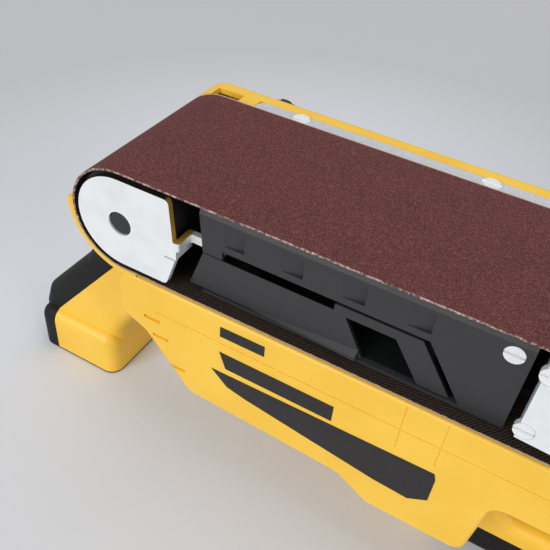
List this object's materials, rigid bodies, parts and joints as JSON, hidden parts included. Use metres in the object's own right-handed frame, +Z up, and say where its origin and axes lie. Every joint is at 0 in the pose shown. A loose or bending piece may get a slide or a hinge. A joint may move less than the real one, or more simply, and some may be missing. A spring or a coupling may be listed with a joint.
{
  "type": "belt sander",
  "caption": "Hand-held belt sander with a wide cloth sanding belt on two rollers, a tension lever, a D-shaped rear handle and a front handle, stored belt up as set down for stationary sanding.",
  "frame": {"origin": "on the plane that the handles stand on, straight below the drive roller's axis, in the middle plane of the sanding belt", "axes": "+X to the rear handle, +Y to the drive side, +Z up, out of the sanding run of the belt; the machine is stored on its back, belt up, as pictured"},
  "size_m": [0.372, 0.1049, 0.1568],
  "materials": {
    "abrasive_cloth": "aluminium oxide grit on cloth",
    "roller_nylon": "turned nylon",
    "bearing_steel": "ground steel",
    "zinc_steel": "bright zinc plate",
    "dark_steel": "blued spring steel",
    "lamination_steel": "stacked laminations",
    "cast_aluminium": "as cast",
    "copper": "enamelled copper",
    "brass": "pressed brass",
    "carbon": "pressed carbon",
    "yellow_plastic": "satin moulded",
    "charcoal_plastic": "fine spark-eroded texture",
    "black_plastic": "moulded",
    "grip_rubber": "soft overmould",
    "black_rubber": "moulded rubber"
  },
  "bodies": {
    "machine": {"sanding_belt": "abrasive_cloth", "tension_spring": "bearing_steel", "base_frame": "cast_aluminium", "guide_cap": "zinc_steel", "platen_pad": "black_rubber", "platen_plate": "dark_steel", "drive_shaft_bearings": "bearing_steel", "drive_end_plate": "zinc_steel", "end_plate_screws": "zinc_steel", "drive_belt": "black_rubber", "motor_bearings": "bearing_steel", "field_coils": "copper", "stator_core": "lamination_steel", "carbon_brushes": "carbon", "brush_holders": "brass", "housing_near": "yellow_plastic", "housing_far": "yellow_plastic", "housing_screws": "zinc_steel", "rear_grip": "grip_rubber", "front_grip": "grip_rubber", "side_cover": "charcoal_plastic", "cover_screw": "zinc_steel", "lever_pin": "bearing_steel", "drive_cover": "yellow_plastic", "drive_cover_screws": "zinc_steel", "switch_body": "black_plastic", "suppressor_capacitor": "yellow_plastic", "dust_port": "black_plastic", "cable_gland": "black_rubber"},
    "drive": {"drive_roller_core": "cast_aluminium", "drive_roller_sleeve": "black_rubber", "drive_shaft": "bearing_steel", "driven_pulley": "cast_aluminium"},
    "armature": {"armature_shaft": "bearing_steel", "armature_core": "lamination_steel", "armature_windings": "copper", "commutator": "copper", "motor_fan": "black_plastic", "motor_pulley": "bearing_steel"},
    "slider": {"tension_slider": "cast_aluminium", "yoke_pin": "bearing_steel"},
    "yoke": {"roller_yoke": "zinc_steel", "front_axle": "bearing_steel"},
    "idler": {"front_roller": "roller_nylon", "front_roller_bearings": "bearing_steel"},
    "lever": {"tension_lever": "charcoal_plastic"},
    "tracking": {"tracking_knob": "black_plastic", "tracking_screw": "zinc_steel"},
    "trigger": {"trigger": "black_plastic"},
    "lock": {"lock_button": "black_plastic"}
  },
  "joints": [
    {"name": "drive_roller_spin", "type": "hinge", "parent": "machine", "child": "drive", "pos_m": [0, 0, 0.133], "axis": [0, 1, 0], "continuous": true},
    {"name": "armature_spin", "type": "hinge", "parent": "machine", "child": "armature", "pos_m": [-0.06514, 0, 0.0725], "axis": [0, 1, 0], "continuous": true},
    {"name": "tension_slide", "type": "slide", "parent": "machine", "child": "slider", "axis": [1, 0, 0], "range_m": [0, 0.006], "stiffness_N_per_m": 800, "springref_m": -0.01, "deforming": ["tension_spring"]},
    {"name": "yoke_steer", "type": "hinge", "parent": "slider", "child": "yoke", "pos_m": [-0.13114, 0, 0.133], "axis": [0, 0, 1], "range_deg": [-0.5, 0.5]},
    {"name": "idler_spin", "type": "hinge", "parent": "yoke", "child": "idler", "pos_m": [-0.19314, 0, 0.133], "axis": [0, 1, 0], "continuous": true},
    {"name": "lever_swing", "type": "hinge", "parent": "machine", "child": "lever", "pos_m": [-0.15274, -0.0269, 0.12], "axis": [0, 0, -1], "range_deg": [0, 100]},
    {"name": "tracking_turn", "type": "hinge", "parent": "machine", "child": "tracking", "pos_m": [-0.17714, 0.062, 0.1395], "axis": [0, 1, 0], "range_deg": [-144, 144]},
    {"name": "trigger_pull", "type": "slide", "parent": "machine", "child": "trigger", "axis": [0, 0, -1], "range_m": [0, 0.0045], "stiffness_N_per_m": 300, "springref_m": -0.003},
    {"name": "lock_press", "type": "slide", "parent": "machine", "child": "lock", "axis": [0, 1, 0], "range_m": [0, 0.002], "stiffness_N_per_m": 200, "springref_m": -0.002}
  ],
  "couplings": [
    {"joint": "idler_spin", "follows": "drive_roller_spin", "ratio": 1},
    {"joint": "armature_spin", "follows": "drive_roller_spin", "ratio": 2.3333},
    {"joint": "lever_swing", "follows": "tension_slide", "rad_per_m": 290.89},
    {"joint": "tracking_turn", "follows": "yoke_steer", "ratio": 288}
  ]
}
